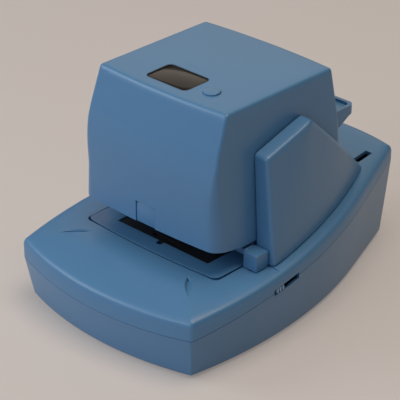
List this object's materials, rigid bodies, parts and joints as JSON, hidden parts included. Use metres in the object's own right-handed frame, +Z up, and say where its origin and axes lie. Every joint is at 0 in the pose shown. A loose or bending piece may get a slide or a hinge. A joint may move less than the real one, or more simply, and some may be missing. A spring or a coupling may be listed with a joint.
{
  "type": "electric stapler",
  "caption": "Heavy electric stapler: low boat-shaped base with a flat table, tall head over the paper throat, side covers, window, push button, paper stop and pull-out staple cartridge.",
  "frame": {"origin": "on the table under the middle of the overall box", "axes": "+X to the right seen from the front, +Y to the back, +Z up; the throat opens towards -Y"},
  "size_m": [0.173, 0.26, 0.1655],
  "materials": {
    "shell": "fine-grained moulded plastic",
    "black_plastic": "black moulded plastic",
    "window": "smoked clear plastic",
    "bright_steel": "ground steel",
    "frame_steel": "zinc-plated sheet steel",
    "nylon": "natural nylon",
    "brass": "turned brass",
    "cartridge": "dark moulded plastic",
    "board": "green circuit board",
    "switch": "pale blue-grey plastic",
    "rubber": "soft black rubber"
  },
  "bodies": {
    "base": {"lower_case": "shell", "upper_case": "shell", "table_plate": "shell", "clincher_plate": "black_plastic", "clincher_beam": "frame_steel", "throat_wall": "black_plastic", "head_cover": "shell", "nose_plate": "black_plastic", "window_frame": "black_plastic", "window_lens": "window", "display_board": "board", "flap_pin": "bright_steel", "left_wing": "shell", "right_wing": "shell", "left_side_plate": "frame_steel", "right_side_plate": "frame_steel", "tie_bars": "frame_steel", "top_bridge": "frame_steel", "guide_rods": "bright_steel", "lever_shaft": "bright_steel", "shaft_bushes": "brass", "idler_shaft": "bright_steel", "motor": "frame_steel", "switch_body": "black_plastic", "circuit_board": "board", "transformer": "frame_steel", "inlet_socket": "black_plastic", "rubber_feet": "rubber", "case_screws": "bright_steel"},
    "cam": {"cam_shaft": "bright_steel", "cam_pair": "frame_steel", "cam_gear": "nylon"},
    "idler": {"idler_gear": "nylon"},
    "pinion": {"pinion": "brass"},
    "lever": {"drive_lever": "frame_steel", "lever_rollers": "bright_steel", "return_spring": "bright_steel"},
    "driver": {"driver_slide": "frame_steel", "driver_pin": "bright_steel", "driver_blade": "bright_steel"},
    "cartridge": {"cartridge_box": "cartridge", "cartridge_door": "shell", "staple_coil": "bright_steel"},
    "flap": {"jam_flap": "shell"},
    "button": {"top_button": "shell"},
    "paper_stop": {"stop_knob": "shell", "stop_bar": "shell"},
    "switch": {"slide_knob": "switch"},
    "trigger": {"trigger_lever": "nylon"},
    "left_clincher": {"left_clincher": "frame_steel"},
    "right_clincher": {"right_clincher": "frame_steel"}
  },
  "joints": [
    {"name": "cam_spin", "type": "hinge", "parent": "base", "child": "cam", "pos_m": [0, -0.022, 0.136], "axis": [1, 0, 0], "range_deg": [0, 180]},
    {"name": "idler_spin", "type": "hinge", "parent": "base", "child": "idler", "pos_m": [0, 0.00329, 0.132], "axis": [1, 0, 0], "range_deg": [-540, 0]},
    {"name": "pinion_spin", "type": "hinge", "parent": "base", "child": "pinion", "pos_m": [0, 0.02591, 0.14], "axis": [1, 0, 0], "range_deg": [0, 2160]},
    {"name": "lever_swing", "type": "hinge", "parent": "base", "child": "lever", "pos_m": [0, 0.03, 0.118], "axis": [1, 0, 0], "range_deg": [0, 14.3]},
    {"name": "driver_stroke", "type": "slide", "parent": "base", "child": "driver", "axis": [0, 0, -1], "range_m": [0, 0.024]},
    {"name": "cartridge_pull", "type": "slide", "parent": "base", "child": "cartridge", "axis": [0, 1, 0], "range_m": [0, 0.09]},
    {"name": "flap_lift", "type": "hinge", "parent": "base", "child": "flap", "pos_m": [0, -0.0756, 0.0831], "axis": [-1, 0, 0], "range_deg": [0, 60]},
    {"name": "button_press", "type": "slide", "parent": "base", "child": "button", "axis": [0, 0, -1], "range_m": [0, 0.0015], "stiffness_N_per_m": 400, "springref_m": -0.001},
    {"name": "paper_stop_shift", "type": "slide", "parent": "base", "child": "paper_stop", "axis": [0, 1, 0], "range_m": [-0.008, 0]},
    {"name": "switch_shift", "type": "slide", "parent": "base", "child": "switch", "axis": [0, 0.9929, 0.1191], "range_m": [0, 0.009]},
    {"name": "trigger_swing", "type": "hinge", "parent": "base", "child": "trigger", "pos_m": [0, -0.0402, 0.042], "axis": [-1, 0, 0], "range_deg": [0, 20], "stiffness_Nm_per_rad": 0.02, "springref_deg": -5.73},
    {"name": "right_clincher_swing", "type": "hinge", "parent": "base", "child": "right_clincher", "pos_m": [0.011, -0.058, 0.044], "axis": [0, 1, 0], "range_deg": [0, 15]},
    {"name": "left_clincher_swing", "type": "hinge", "parent": "base", "child": "left_clincher", "pos_m": [-0.011, -0.058, 0.044], "axis": [0, 1, 0], "range_deg": [-15, 0]}
  ],
  "couplings": [
    {"joint": "cam_spin", "follows": "driver_stroke", "rad_per_m": 130.9},
    {"joint": "lever_swing", "follows": "driver_stroke", "rad_per_m": 10.399},
    {"joint": "idler_spin", "follows": "driver_stroke", "rad_per_m": -392.7},
    {"joint": "pinion_spin", "follows": "driver_stroke", "rad_per_m": 1570.8},
    {"joint": "left_clincher_swing", "follows": "right_clincher_swing", "ratio": -1}
  ]
}
